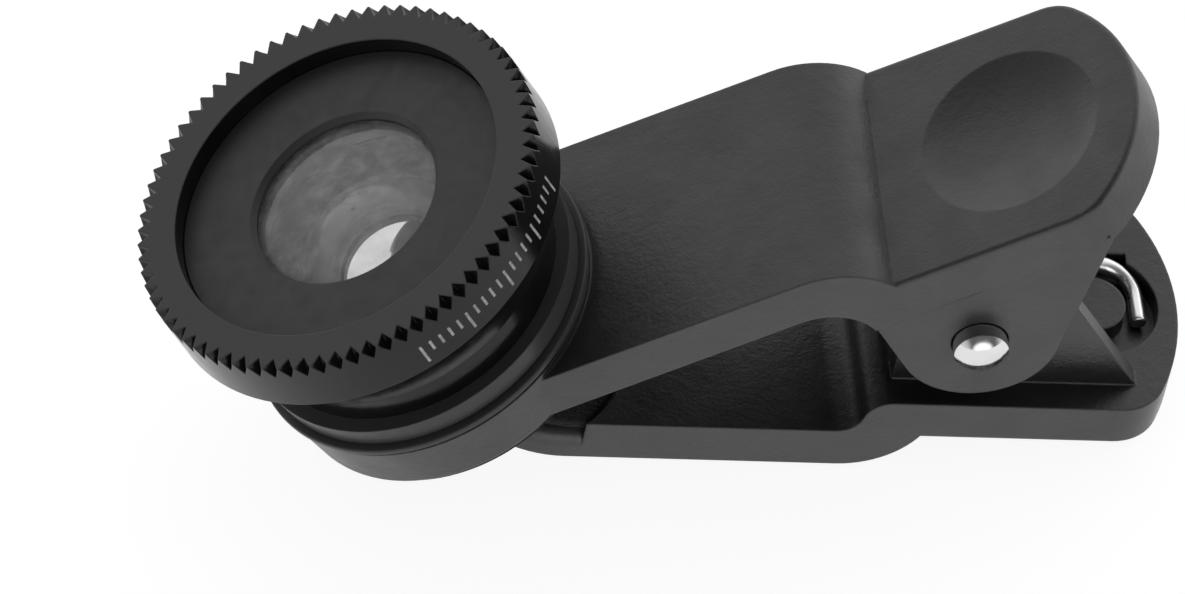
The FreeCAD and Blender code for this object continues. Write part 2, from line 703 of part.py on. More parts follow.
def make_lens_barrel():
    body = new_body("lens_barrel")
    mask_seat = "(Sizes.lens_length - Sizes.recess_depth - Sizes.mask_thickness - Sizes.fit)"
    turned(body, "barrel_turning", [
        ("Sizes.recess_radius", "Sizes.lens_length"),
        ("Sizes.recess_radius", mask_seat),
        ("Sizes.front_bore", mask_seat),
        ("Sizes.front_bore", FRONT_SHELF),
        ("Sizes.shelf_hole", FRONT_SHELF),
        ("Sizes.shelf_hole", f"{FRONT_SHELF} - Sizes.shelf_thickness"),
        ("Sizes.rear_bore", f"{FRONT_SHELF} - Sizes.shelf_thickness"),
        ("Sizes.rear_bore", "Sizes.spigot_foot"),
        ("Sizes.spigot_radius", "Sizes.spigot_foot"),
        ("Sizes.spigot_radius", "Sizes.flange_top"),
        ("Sizes.neck_radius", "Sizes.flange_top"),
        ("Sizes.neck_radius", "Sizes.neck_step"),
        ("Sizes.undercut_foot_radius", "Sizes.undercut_foot", "-Sizes.undercut_bend"),
        ("Sizes.undercut_top_radius", BAND_FOOT),
        ("Sizes.barrel_radius - Sizes.band_break", BAND_FOOT),
        ("Sizes.barrel_radius", f"{BAND_FOOT} + Sizes.band_break"),
        ("Sizes.barrel_radius", "Sizes.lens_length"),
    ])
    notch = new_sketch(body, "notch_plan", "XY_Plane")
    notch.setExpression("AttachmentOffset.Base.z", "Sizes.lens_length")
    root = "(Sizes.barrel_radius - Sizes.tooth_depth)"
    spread = "(Sizes.tooth_cutter * tan(Sizes.tooth_half_angle * 1deg))"
    outline(notch, [
        (root, "0"),
        (f"{root} + Sizes.tooth_cutter", f"-{spread}"),
        (f"{root} + Sizes.tooth_cutter", spread),
    ])
    cutter_axis = notch.addGeometry(Part.LineSegment(
        FreeCAD.Vector(size(f"{root} + Sizes.tooth_cutter"), size(f"-{spread}"), 0),
        FreeCAD.Vector(size(f"{root} + Sizes.tooth_cutter"), size(spread), 0)), True)
    notch.addConstraint(Sketcher.Constraint("Coincident", cutter_axis, 1, 1, 1))
    notch.addConstraint(Sketcher.Constraint("Coincident", cutter_axis, 2, 1, 2))
    before = body.Shape.Volume
    cut = body.newObject("PartDesign::Groove", "notch")
    cut.Profile = notch
    cut.ReferenceAxis = (notch, ["Axis0"])
    cut.Angle = 360
    doc.recompute()
    if body.Shape.Volume > before - 1e-3:
        raise RuntimeError("notch cut nothing")
    ring = body.newObject("PartDesign::PolarPattern", "notches")
    ring.Originals = [cut]
    ring.Axis = (notch, ["N_Axis"])
    ring.Angle = 360
    ring.setExpression("Occurrences", "Sizes.tooth_count")
    body.Tip = ring
    doc.recompute()
    return body


def make_front_mask():
    body = new_body("front_mask")
    top = "(Sizes.lens_length - Sizes.recess_depth)"
    outer = "(Sizes.recess_radius - Sizes.fit)"
    turned(body, "mask_turning", [
        ("Sizes.mask_hole", f"{top} - Sizes.mask_thickness"),
        (outer, f"{top} - Sizes.mask_thickness"),
        (outer, top),
        ("Sizes.mask_hole + Sizes.mask_bevel", top),
        ("Sizes.mask_hole", f"{top} - Sizes.mask_bevel"),
    ])
    return body


def make_front_glass():
    body = new_body("front_glass")
    edge = "(Sizes.front_bore - Sizes.fit)"
    sag = f"(Sizes.front_curve - sqrt(Sizes.front_curve^2 - {edge}^2))"
    bowl = "(Sizes.front_bowl - sqrt(Sizes.front_bowl^2 - Sizes.front_bowl_radius^2))"
    foot = f"({STOP_FOOT} + Sizes.stop_flange + Sizes.fit)"
    turned(body, "front_turning", [
        ("0", f"{foot} + {bowl}", "-Sizes.front_bowl"),
        ("Sizes.front_bowl_radius", foot),
        (edge, foot),
        (edge, f"{FRONT_CROWN} - {sag}", "Sizes.front_curve"),
        ("0", FRONT_CROWN),
    ])
    return body


def make_front_stop():
    """The grey funnel between the front and middle glass: a flange on the shelf, and a cone."""
    body = new_body("front_stop")
    outer = "(Sizes.front_bore - Sizes.fit)"
    collar = "(Sizes.shelf_hole - 2 * Sizes.fit)"
    rim = f"({STOP_FOOT} + Sizes.stop_flange - Sizes.stop_drop)"
    turned(body, "stop_turning", [
        (outer, STOP_FOOT),
        (outer, f"{STOP_FOOT} + Sizes.stop_flange"),
        ("Sizes.stop_cone", f"{STOP_FOOT} + Sizes.stop_flange"),
        ("Sizes.stop_hole + Sizes.stop_lip", rim),
        ("Sizes.stop_hole", f"{rim} - Sizes.stop_lip"),
        ("Sizes.stop_hole", f"{rim} - 2 * Sizes.stop_lip"),
        (collar, f"{STOP_FOOT} - Sizes.stop_flange"),
        (collar, STOP_FOOT),
    ])
    return body


def make_front_spacer():
    body = new_body("front_spacer")
    top = "(Sizes.lens_length - Sizes.recess_depth - Sizes.mask_thickness - 2 * Sizes.fit)"
    outer = "(Sizes.front_bore - Sizes.fit)"
    inner = "Sizes.front_ring_hole"
    centre = f"({FRONT_CROWN} + Sizes.fit - Sizes.front_curve)"
    foot_in = f"({centre} + sqrt(Sizes.front_curve^2 - {inner}^2))"
    foot_out = f"({centre} + sqrt(Sizes.front_curve^2 - {outer}^2))"
    turned(body, "front_ring_turning", [
        (inner, foot_in),
        (outer, foot_out),
        (outer, top),
        (inner, top),
    ])
    return body


REAR_EDGE = "(Sizes.rear_bore - Sizes.fit)"
MIDDLE_TOP = f"({FRONT_SHELF} - Sizes.shelf_thickness - Sizes.fit)"
MIDDLE_FOOT = f"({MIDDLE_TOP} - Sizes.middle_thickness)"
GAP_FOOT = f"({MIDDLE_FOOT} - Sizes.gap_ring_height)"
REAR_FOOT = f"({GAP_FOOT} - Sizes.rear_thickness)"


def make_middle_glass():
    body = new_body("middle_glass")
    sag = "(Sizes.middle_curve - sqrt(Sizes.middle_curve^2 - Sizes.middle_land^2))"
    turned(body, "middle_turning", [
        ("0", MIDDLE_FOOT),
        (REAR_EDGE, MIDDLE_FOOT),
        (REAR_EDGE, MIDDLE_TOP),
        ("Sizes.middle_land", MIDDLE_TOP, "-Sizes.middle_curve"),
        ("0", f"{MIDDLE_TOP} - {sag}"),
    ])
    return body


def make_rear_spacer():
    body = new_body("rear_spacer")
    turned(body, "gap_ring_turning", [
        ("Sizes.gap_ring_hole", GAP_FOOT),
        (REAR_EDGE, GAP_FOOT),
        (REAR_EDGE, MIDDLE_FOOT),
        ("Sizes.gap_ring_hole", MIDDLE_FOOT),
    ])
    return body


def make_rear_glass():
    body = new_body("rear_glass")
    sag = "(Sizes.rear_curve - sqrt(Sizes.rear_curve^2 - Sizes.rear_land^2))"
    turned(body, "rear_turning", [
        ("0", f"{REAR_FOOT} - {sag}", "Sizes.rear_curve"),
        ("Sizes.rear_land", REAR_FOOT),
        (REAR_EDGE, REAR_FOOT),
        (REAR_EDGE, GAP_FOOT),
        ("0", GAP_FOOT),
    ])
    return body


def make_retaining_ring():
    body = new_body("retaining_ring")
    top = f"({REAR_FOOT} - Sizes.fit)"
    foot = f"({top} - Sizes.retainer_height)"
    inner = "(Sizes.rear_land + Sizes.fit)"
    turned(body, "retainer_turning", [
        (inner, top),
        (inner, foot),
        (REAR_EDGE, foot),
        (REAR_EDGE, top),
    ])
    slots = new_sketch(body, "retainer_slot_side", "XY_Plane")
    slots.setExpression("AttachmentOffset.Base.z", foot)
    half = "Sizes.retainer_slot_width / 2"
    outline(slots, [
        (f"-{REAR_EDGE} - 1", f"-{half}"),
        (f"{REAR_EDGE} + 1", f"-{half}"),
        (f"{REAR_EDGE} + 1", half),
        (f"-{REAR_EDGE} - 1", half),
    ])
    pocket(body, "retainer_slots", slots, "Sizes.retainer_slot_depth", reverse=True)
    return body


def on_lens_axis():
    return [make_mount_ring(), make_lens_barrel(), make_front_mask(), make_front_glass(),
            make_front_spacer(), make_front_stop(), make_middle_glass(), make_rear_spacer(),
            make_rear_glass(), make_retaining_ring()]


# Build, then stand the part on its ring edge and its finger tab
upper = [make_upper_arm(), make_upper_jaw_pad()] + on_lens_axis()
lower = [make_lower_arm(), make_pivot_pin(), make_torsion_spring(), make_lower_jaw_pad()]
doc.recompute()


def stand():
    """Give each piece its place: arms spread by the closed angle, resting on the foam ring's
    edge and on the rounded edge of the lower tab."""
    angle = size("Sizes.arm_angle")
    seat_to_pivot = FreeCAD.Vector(size("Sizes.pivot_reach"), 0, size(PIVOT_HEIGHT))
    foam_foot = size("-Sizes.ring_depth - Sizes.ring_pad_thickness")
    ring = FreeCAD.Vector(size("-Sizes.ring_pad_outer"), 0, foam_foot)
    swing = FreeCAD.Rotation(FreeCAD.Vector(0, 1, 0), -angle)
    ring_contact = swing.multVec(ring - seat_to_pivot)
    edge = size("Sizes.arm_edge")
    tab = FreeCAD.Vector(size("Sizes.lower_tab_reach") - edge, 0, size(LOWER_TAIL_UNDER) + edge)
    lean = math.degrees(math.atan2(tab.z - ring_contact.z, tab.x - ring_contact.x))
    lean = lean - math.degrees(math.asin(edge / (tab - ring_contact).Length))
    tilt = FreeCAD.Rotation(FreeCAD.Vector(0, 1, 0), lean)
    up = tilt * swing
    for item in lower:
        item.Placement = FreeCAD.Placement(FreeCAD.Vector(0, 0, 0), tilt)
    for item in upper:
        item.Placement = FreeCAD.Placement(up.multVec(seat_to_pivot * -1), up)
    doc.recompute()
    whole = Part.makeCompound([item.Shape for item in upper + lower]).optimalBoundingBox(False)
    shift = FreeCAD.Vector(-(whole.XMin + whole.XMax) / 2, -(whole.YMin + whole.YMax) / 2, -whole.ZMin)
    for item in upper + lower:
        item.Placement = FreeCAD.Placement(item.Placement.Base + shift, item.Placement.Rotation)
    doc.recompute()
    return lean, shift


lean, shift = stand()
print("lean", round(lean, 3), "hinge axis at", [round(value, 3) for value in shift])

# Check every object, then write each piece
for item in doc.Objects:
    if "Invalid" in item.State or "Error" in item.State:
        raise RuntimeError(f"{item.Name} failed: {item.State}")
os.makedirs("parts", exist_ok=True)
for item in upper + lower:
    shape = item.Shape
    if shape.isNull() or not shape.isValid() or len(shape.Solids) != 1:
        raise RuntimeError(f"{item.Label} is not one valid solid")
    print(item.Label, round(shape.Volume, 2), len(shape.Faces))
    shape.exportStep(f"parts/{item.Label}.step")
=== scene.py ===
import json
import math

import bmesh
import bpy
from mathutils import Matrix, Vector, noise


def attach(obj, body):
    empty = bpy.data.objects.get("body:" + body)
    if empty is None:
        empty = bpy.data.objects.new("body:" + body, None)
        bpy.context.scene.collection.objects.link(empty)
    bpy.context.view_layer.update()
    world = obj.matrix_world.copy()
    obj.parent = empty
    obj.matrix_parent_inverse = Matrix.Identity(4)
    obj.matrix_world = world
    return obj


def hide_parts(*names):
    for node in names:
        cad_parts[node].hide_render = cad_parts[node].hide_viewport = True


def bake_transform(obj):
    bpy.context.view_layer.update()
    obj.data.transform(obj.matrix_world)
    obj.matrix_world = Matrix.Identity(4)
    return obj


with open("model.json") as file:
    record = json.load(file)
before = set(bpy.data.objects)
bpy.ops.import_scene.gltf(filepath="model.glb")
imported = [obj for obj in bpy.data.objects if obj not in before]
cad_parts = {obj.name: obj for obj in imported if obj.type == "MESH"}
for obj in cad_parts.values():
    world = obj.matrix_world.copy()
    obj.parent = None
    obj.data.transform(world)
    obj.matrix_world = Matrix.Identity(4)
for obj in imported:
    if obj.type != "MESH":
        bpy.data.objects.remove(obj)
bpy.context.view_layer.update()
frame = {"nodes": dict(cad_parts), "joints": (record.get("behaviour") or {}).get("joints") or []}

MM = 0.001

# Places that the frame gives: the hinge axis and the lens axis
JOINTS = {joint["name"]: joint for joint in frame["joints"]}
HINGE = Vector(JOINTS["clip_hinge"]["pos_m"])
LENS_AXIS = Vector(JOINTS["lens_travel"]["axis"]).normalized()
LENS_SEAT = Vector(JOINTS["lens_turn"]["pos_m"])
UPPER_ANGLE = math.atan2(-LENS_AXIS.x, LENS_AXIS.z)
ARM_ANGLE = math.radians(33.9)
LOWER_ANGLE = UPPER_ANGLE - ARM_ANGLE

LENS_PLACE = Matrix.Translation(LENS_SEAT) @ Matrix.Rotation(-UPPER_ANGLE, 4, "Y")
LOWER_PLACE = Matrix.Translation(HINGE) @ Matrix.Rotation(-LOWER_ANGLE, 4, "Y")

# Lens sizes in millimetres, heights up from the seat on the clip
LENS_LENGTH = 12.45
BARREL_RADIUS = 12.5
GLASS_LAND = 6.72
GLASS_LAND_TOP = 9.45
SATIN_FACE = 12.38
SATIN_FACE_FADE = 0.03
SATIN_FOOT = 2.3
SATIN_FOOT_FADE = 0.05

# The thread on the mount ring and the one in its bore, in millimetres
THREAD_RADIUS = 7.82
THREAD_FOOT = -1.66
THREAD_TOP = -0.1
BORE_RADIUS = 7.9
BORE_FOOT = -3.3
BORE_TOP = -0.1
THREAD_PITCH = 0.5
THREAD_HEIGHT = 0.05
THREAD_HALF_WIDTH = 0.15
THREAD_ROOT = 0.02
BORE_PHASE = 1.6
THREAD_STEPS_A_TURN = 72
THREAD_FADE_STEPS = 24

# The scale on the band: short marks, and a longer one at every fifth
MARK_START = 285
MARK_END = 345
MARK_STEP = 3
MARK_DEPTH = 1.8
MARK_LENGTH = 0.8
LONG_MARK = 1.45
MARK_WIDTH = 0.17
MARK_PROUD = 0.008
MARK_GROUP = 5
MARK_ACROSS = (-1.0, -0.33, 0.33, 1.0)

# Half the width of the arms, and the rim inside it where the sides' finish begins, in millimetres
HALF_WIDTH = 8.05
SIDE_FADE_START = 0.12
SIDE_FADE_END = 0.04

# How much rounder than its solid the pin's end shades, per metre
PIN_CROWN = 170.0

# The radius to which edges shade as worn, in metres
PLASTIC_EDGE = 0.0002
BARREL_EDGE = 0.00012
THIN_EDGE = 0.00006
PIN_EDGE = 0.00005
EDGE_SAMPLES = 4

# Foam sizes in millimetres: the ring under the lens mount and the pad on the jaw
RING_FOAM_INNER = 8.3
RING_FOAM_OUTER = 9.4
RING_FOAM_TOP = -3.68
RING_FOAM_FOOT = -4.18
PAD_FRONT = -28.54
PAD_BACK = -18.45
PAD_BACK_ARC = 10.5
PAD_HALF = 7.5
PAD_CORNER = 6.4
PAD_FLOOR = -9.18
PAD_THICKNESS = 0.6
FOAM_EDGE = 0.16
FOAM_GRAIN = 0.012
COARSE_GRAIN = 0.7
FINE_GRAIN = 2.6

# Foam forms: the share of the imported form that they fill, the shares of its depth where their
# sides end and their crowns rise, and the steps round and across them
RING_FILL = 0.985
RING_SHOULDER = 0.45
RING_CROWN = 0.55
RING_SQUARENESS = 0.35
RING_SIDES = 220
RING_SECTION_STEPS = 24
PAD_FILL = 0.995
PAD_SIDE_MIDDLE = 0.35
PAD_SHOULDER = 0.62
PAD_EDGE_RISE = 0.3
PAD_EDGE_STEPS = 6
PAD_TOP = PAD_SHOULDER + PAD_EDGE_RISE
PAD_CROWN = 0.06
PAD_TOP_STEPS = 26
PAD_CROWN_STEPS = 14
PAD_CENTRE_GAP = 0.15
PAD_GRAIN_START = 0.9
PAD_GRAIN_SHARE = 0.9
PAD_BACK_STEPS = 60
PAD_CORNER_STEPS = 28
PAD_FRONT_STEPS = 8
PAD_FRONT_SHARE = 0.8

# Spring sizes in millimetres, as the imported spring
WIRE_RADIUS = 0.47
COIL_RADIUS = 2.5
COIL_PITCH = 1.06
COIL_TURNS = 4
FOOT_REACH = 11.3
FOOT_TURN = 1.9
FOOT_LENGTH = 4.0
LOW_FOOT = -6.33
HIGH_FOOT = 5.0
COIL_STEPS = 200
LEG_STEPS = 12
BEND_STEPS = 14
FOOT_STEPS = 8
WIRE_SIDES = 28
WIRE_END_ROUND = 0.25
WIRE_END_LIP = 0.3

# The room's light: each aim, the angles from it where the light starts and is full, and its level
ROOM_LEVEL = 0.14
ROOM_LIGHTS = (
    ((-0.1, 1.0, 0.3), 70, 25, 0.87),
    ((-1.0, -0.3, 0.0), 45, 15, 0.62),
    ((1.0, 0.3, 0.1), 55, 15, 0.95),
    ((0.1, -1.0, 0.0), 42, 18, 1.6),
)
FLOOR_GLOW = 1.31
FLOOR_SHARE = 0.68
FLOOR_SHADE = 0.88
FLOOR_HALF = 1.6

# The camera, from the fit to the photograph, in the lens's own frame
CAMERA_RIGHT = Vector((0.9061, -0.1004, -0.4111)).normalized()
CAMERA_UP = Vector((0.3329, 0.7688, 0.5460)).normalized()
CAMERA_OFFSET = Vector((14.734, -6.323, 1470.5))
CAMERA_LENS = 780.0
SENSOR_WIDTH = 36.0
CAMERA_NEAR = 0.1
CAMERA_FAR = 20.0


# Nodes and materials
class Nodes:
    """A material's nodes, with a short way to add and join them."""

    def __init__(self, name):
        self.material = bpy.data.materials.new(name)
        self.material.use_nodes = True
        self.tree = self.material.node_tree
        self.shader = self.tree.nodes["Principled BSDF"]
        self.output = self.tree.nodes["Material Output"]

    def add(self, kind, **inputs):
        node = self.tree.nodes.new(kind)
        for key, value in inputs.items():
            self.feed(node, key.replace("_", " "), value)
        return node

    def feed(self, node, key, value):
        if isinstance(value, bpy.types.NodeSocket):
            self.tree.links.new(value, node.inputs[key])
        else:
            node.inputs[key].default_value = value

    def set(self, **inputs):
        for key, value in inputs.items():
            self.feed(self.shader, key.replace("_", " "), value)

    def place(self):
        """Coordinates in metres that stay with the piece."""
        return self.add("ShaderNodeTexCoord").outputs["Object"]

    def noise(self, scale, detail=4.0, roughness=0.5, vector=None):
        node = self.add("ShaderNodeTexNoise", Scale=scale, Detail=detail, Roughness=roughness,
                        Vector=vector or self.place())
        return node.outputs["Fac"]

    def cells(self, scale):
        return self.add("ShaderNodeTexVoronoi", Scale=scale, Vector=self.place()).outputs["Distance"]

    def span(self, value, low, high, start=0.0, end=1.0):
        """The value, carried from start and end to low and high."""
        node = self.add("ShaderNodeMapRange", Value=value,
                        From_Min=start, From_Max=end, To_Min=low, To_Max=high)
        return node.outputs["Result"]

    def maths(self, operation, first, second=0.0):
        node = self.tree.nodes.new("ShaderNodeMath")
        node.operation = operation
        self.feed(node, 0, first)
        self.feed(node, 1, second)
        return node.outputs[0]

    def ramp(self, value, low, high, start=0.0, end=1.0):
        """A colour between two greys, or two colours."""
        node = self.add("ShaderNodeValToRGB", Fac=value)
        for stop, place, colour in zip(node.color_ramp.elements, (start, end), (low, high)):
            red_green_blue = colour if isinstance(colour, tuple) else (colour, colour, colour)
            stop.position = place
            stop.color = (*red_green_blue, 1.0)
        return node.outputs["Color"]

    def rounded(self, radius):
        """The surface's own direction, with its edges worn to a small radius."""
        node = self.add("ShaderNodeBevel", Radius=radius)
        node.samples = EDGE_SAMPLES
        return node.outputs["Normal"]

    def bump(self, height, distance, strength=1.0, normal=None):
        node = self.add("ShaderNodeBump", Height=height, Distance=distance, Strength=strength)
        if normal is not None:
            self.feed(node, "Normal", normal)
        return node.outputs["Normal"]

    def mixed(self, share, first, second):
        """Two shaders, with the share of the second."""
        node = self.add("ShaderNodeMixShader", Fac=share)
        self.feed(node, 1, first)
        self.feed(node, 2, second)
        return node.outputs["Shader"]

    def lens_place(self):
        """Distance from the lens axis and height over its seat, in metres."""
        mapping = self.add("ShaderNodeMapping", Vector=self.place())
        mapping.vector_type = "TEXTURE"
        self.feed(mapping, "Location", LENS_SEAT)
        self.feed(mapping, "Rotation", (0.0, -UPPER_ANGLE, 0.0))
        split = self.add("ShaderNodeSeparateXYZ", Vector=mapping.outputs["Vector"])
        x, y, z = split.outputs
        squares = self.maths("ADD", self.maths("MULTIPLY", x, x), self.maths("MULTIPLY", y, y))
        return self.maths("SQRT", squares), z

    def turning_marks(self, scale):
        """Lines round the lens axis, as a cutting tool leaves them."""
        radius, height = self.lens_place()
        joined = self.add("ShaderNodeCombineXYZ", X=radius, Z=height)
        return self.noise(scale, 2.0, 0.5, joined.outputs["Vector"])


def moulded_plastic(name, painted_inner_shade):
    """Satin black plastic with the fine grain of its mould; an inner shade under 1 darkens all but its
    sides, as painted shade of the other arm over it.
    """
    made = Nodes(name)
    y = made.add("ShaderNodeSeparateXYZ", Vector=made.place()).outputs[1]
    start = (HALF_WIDTH - SIDE_FADE_START) * MM
    end = (HALF_WIDTH - SIDE_FADE_END) * MM
    side = made.span(made.maths("ABSOLUTE", y), 0.0, 1.0, start, end)
    # Away from the sides the tone is darkened by the inner shade: painted shade, as cast by the other arm
    painted_shade = made.span(side, painted_inner_shade, 1.0)
    cloud = made.noise(180.0, 3.0)
    specks = made.noise(4200.0, 2.0, 0.7)
    grain = made.noise(5200.0, 2.0, 0.6)
    pits = made.noise(1500.0, 3.0, 0.55)
    tone = made.ramp(made.maths("ADD", cloud, made.maths("MULTIPLY", specks, 0.35)),
                     (0.011, 0.011, 0.0113), (0.024, 0.024, 0.0245), 0.5, 0.9)
    tone_with_painted_shade = made.tree.nodes.new("ShaderNodeVectorMath")
    tone_with_painted_shade.operation = "SCALE"
    made.feed(tone_with_painted_shade, 0, tone)
    made.feed(tone_with_painted_shade, "Scale", painted_shade)
    rough = made.span(made.noise(420.0, 4.0), 0.35, 0.46, 0.3, 0.7)
    made.set(
        Base_Color=tone_with_painted_shade.outputs[0],
        Roughness=made.maths("MULTIPLY", rough, made.span(painted_shade, 0.75, 1.0)),
        IOR=1.68)
    soft = made.bump(pits, 0.00006, 0.4, made.rounded(PLASTIC_EDGE))
    made.set(Normal=made.bump(grain, 0.00003, 0.6, soft))
    return made.material


def anodised_black():
    """Polished aluminium anodised black, with fine turning marks round its axis."""
    made = Nodes("anodised_black")
    marks = made.turning_marks(6500.0)
    wear = made.noise(1300.0, 4.0, 0.65)
    height = made.lens_place()[1]
    face = made.span(height, 0.0, 1.0, SATIN_FACE * MM, (SATIN_FACE + SATIN_FACE_FADE) * MM)
    foot = made.span(height, 1.0, 0.0, SATIN_FOOT * MM, (SATIN_FOOT + SATIN_FOOT_FADE) * MM)
    satin = made.maths("MAXIMUM", face, foot)
    cloud = made.maths("MULTIPLY", made.noise(240.0, 2.0), 0.2)
    polish = made.span(wear, 0.14, 0.25, 0.35, 0.7)
    made.set(
        Base_Color=made.ramp(made.maths("ADD", satin, cloud), 0.004, 0.056, 0.05, 1.1),
        Roughness=made.maths("ADD", polish, made.maths("MULTIPLY", satin, 0.14)),
        IOR=1.36)
    made.set(Normal=made.bump(marks, 0.000004, 0.4, made.rounded(BARREL_EDGE)))
    return made.material


def matt_paint():
    """The mask round the glass: dark grey paint with a little orange peel."""
    made = Nodes("matt_black_paint")
    made.set(
        Base_Color=made.ramp(made.noise(300.0, 3.0), 0.030, 0.038, 0.3, 0.7),
        Roughness=made.span(made.noise(1200.0, 3.0), 0.42, 0.56, 0.3, 0.7))
    made.set(Normal=made.bump(made.noise(3800.0, 3.0), 0.00002, 0.4, made.rounded(THIN_EDGE)))
    return made.material


def ring_metal():
    """Matt anodised rings inside the barrel."""
    made = Nodes("ring_black_metal")
    made.set(
        Base_Color=made.ramp(made.noise(300.0, 2.0), 0.014, 0.022, 0.3, 0.7),
        Roughness=made.span(made.noise(900.0, 3.0), 0.35, 0.45, 0.3, 0.7))
    made.set(Normal=made.bump(made.turning_marks(5000.0), 0.000008, 0.5, made.rounded(THIN_EDGE)))
    return made.material


def pale_grey_painted_haze():
    """Pale satin grey of the light stop and the spacers, with fine lines round their axis: painted light
    for the milky glow inside the lens, on parts that are black.
    """
    made = Nodes("stop_grey_painted_haze")
    made.set(
        Base_Color=made.ramp(made.turning_marks(2600.0), 0.74, 0.90, 0.3, 0.7),
        Roughness=made.span(made.noise(900.0, 3.0), 0.34, 0.5, 0.3, 0.7))
    made.set(Normal=made.bump(made.turning_marks(5200.0), 0.00001, 0.5))
    return made.material


def mark_paint():
    """Grey paint filled into the scale's marks."""
    made = Nodes("grey_mark_paint")
    made.set(
        Base_Color=made.ramp(made.noise(2600.0, 3.0, 0.6), 0.30, 0.55, 0.35, 0.65),
        Roughness=made.span(made.noise(1800.0, 3.0), 0.45, 0.6, 0.3, 0.7))
    made.set(Normal=made.bump(made.noise(5200.0, 2.0), 0.000006, 0.5))
    return made.material


def polished_steel():
    """The pin: bright steel with fine scuffs from its fitting."""
    made = Nodes("polished_steel")
    made.set(
        Base_Color=made.ramp(made.noise(600.0, 3.0),
                             (0.68, 0.68, 0.69), (0.80, 0.80, 0.81), 0.3, 0.7),
        Metallic=1.0,
        Roughness=made.span(made.noise(2400.0, 4.0), 0.08, 0.18, 0.3, 0.7))
    place = made.add("ShaderNodeSeparateXYZ", Vector=made.place()).outputs
    across = made.maths("SUBTRACT", place["X"], HINGE.x)
    upward = made.maths("SUBTRACT", place["Z"], HINGE.z)
    across_square = made.maths("MULTIPLY", across, across)
    upward_square = made.maths("MULTIPLY", upward, upward)
    crown = made.maths("MULTIPLY", made.maths("ADD", across_square, upward_square), -PIN_CROWN)
    dome = made.bump(crown, 1.0, 1.0, made.rounded(PIN_EDGE))
    made.set(Normal=made.bump(made.noise(3000.0, 4.0), 0.00001, 0.3, dome))
    return made.material


def drawn_wire():
    """Bright drawn wire, with faint die marks."""
    made = Nodes("drawn_steel_wire")
    made.set(
        Base_Color=made.ramp(made.noise(700.0, 3.0),
                             (0.86, 0.86, 0.87), (0.94, 0.94, 0.95), 0.3, 0.7),
        Metallic=1.0,
        Roughness=made.span(made.noise(2000.0, 4.0), 0.26, 0.38, 0.3, 0.7))
    made.set(Normal=made.bump(made.noise(4500.0, 3.0), 0.00001, 0.35))
    return made.material


def foam_rubber():
    """Closed-cell black foam: fine open pores over a soft mottle."""
    made = Nodes("black_foam")
    mottle = made.noise(900.0, 4.0, 0.6)
    pores = made.cells(4200.0)
    made.set(
        Base_Color=made.ramp(mottle, 0.010, 0.034, 0.3, 0.7),
        Roughness=made.span(mottle, 0.78, 0.95, 0.3, 0.7),
        Specular_IOR_Level=0.3,
        Sheen_Weight=0.15)
    coarse = made.bump(mottle, 0.0001, 0.5)
    made.set(Normal=made.bump(pores, 0.0001, 0.9, coarse))
    return made.material


def optical_glass(name, ground=False):
    """Clear glass that lets light through; a ground one has a thin haze, partly painted glare, and a matt
    seat and side with lighter streaks, partly painted highlights.
    """
    made = Nodes(name)
    made.set(Base_Color=(0.99, 0.99, 0.99, 1.0), Roughness=0.0, IOR=1.5, Transmission_Weight=1.0)
    surface = made.shader.outputs["BSDF"]
    if ground:
        radius, height = made.lens_place()
        seat = made.maths("MULTIPLY", made.maths("GREATER_THAN", radius, GLASS_LAND * MM),
                          made.maths("LESS_THAN", height, GLASS_LAND_TOP * MM))
        # Lighter streaks on the ground frost: partly the grinding, partly painted highlights on the side
        along = made.add("ShaderNodeMapping", Vector=made.place(), Scale=(1.0, 1.0, 0.12))
        streaks_and_painted_highlights = made.noise(1300.0, 4.0, 0.65, along.outputs["Vector"])
        frost = made.add("ShaderNodeBsdfDiffuse",
                         Color=made.ramp(streaks_and_painted_highlights, 0.55, 0.98, 0.42, 0.66),
                         Normal=made.bump(made.noise(1500.0, 3.0), 0.00008, 0.8))
        # The haze lightens the view through the glass: partly painted glare in the lens
        haze = made.span(made.noise(600.0, 4.0, 0.6), 0.13, 0.24, 0.35, 0.65)
        surface = made.mixed(made.maths("MAXIMUM", seat, haze), surface, frost.outputs["BSDF"])
    clear = made.add("ShaderNodeBsdfTransparent", Color=(1.0, 1.0, 1.0, 1.0))
    shadow = made.add("ShaderNodeLightPath").outputs["Is Shadow Ray"]
    made.feed(made.output, "Surface", made.mixed(shadow, surface, clear.outputs["BSDF"]))
    return made.material


# Meshes
def new_piece(name, mesh, material, smooth=True):
    piece = bpy.data.objects.new(name, mesh)
    bpy.context.scene.collection.objects.link(piece)
    mesh.materials.append(material)
    if smooth:
        mesh.shade_smooth()
    return piece


def mesh_of(name, rings, material, sharp, close_rings=False):
    """A skin over rings of points in metres; edges that turn by more than sharp, in degrees, stay sharp."""
    made = bmesh.new()
    rows = [[made.verts.new(point) for point in ring] for ring in rings]
    pairs = list(zip(rows, rows[1:]))
    if close_rings:
        pairs.append((rows[-1], rows[0]))
    for low, high in pairs:
        for n in range(len(low)):
            after = (n + 1) % len(low)
            made.faces.new((low[n], low[after], high[after], high[n]))
    if not close_rings:
        made.faces.new(list(reversed(rows[0])))
        made.faces.new(rows[-1])
    bmesh.ops.recalc_face_normals(made, faces=made.faces)
    mesh = bpy.data.meshes.new(name)
    made.to_mesh(mesh)
    made.free()
    piece = new_piece(name, mesh, material)
    mesh.set_sharp_from_angle(angle=math.radians(sharp))
    return piece


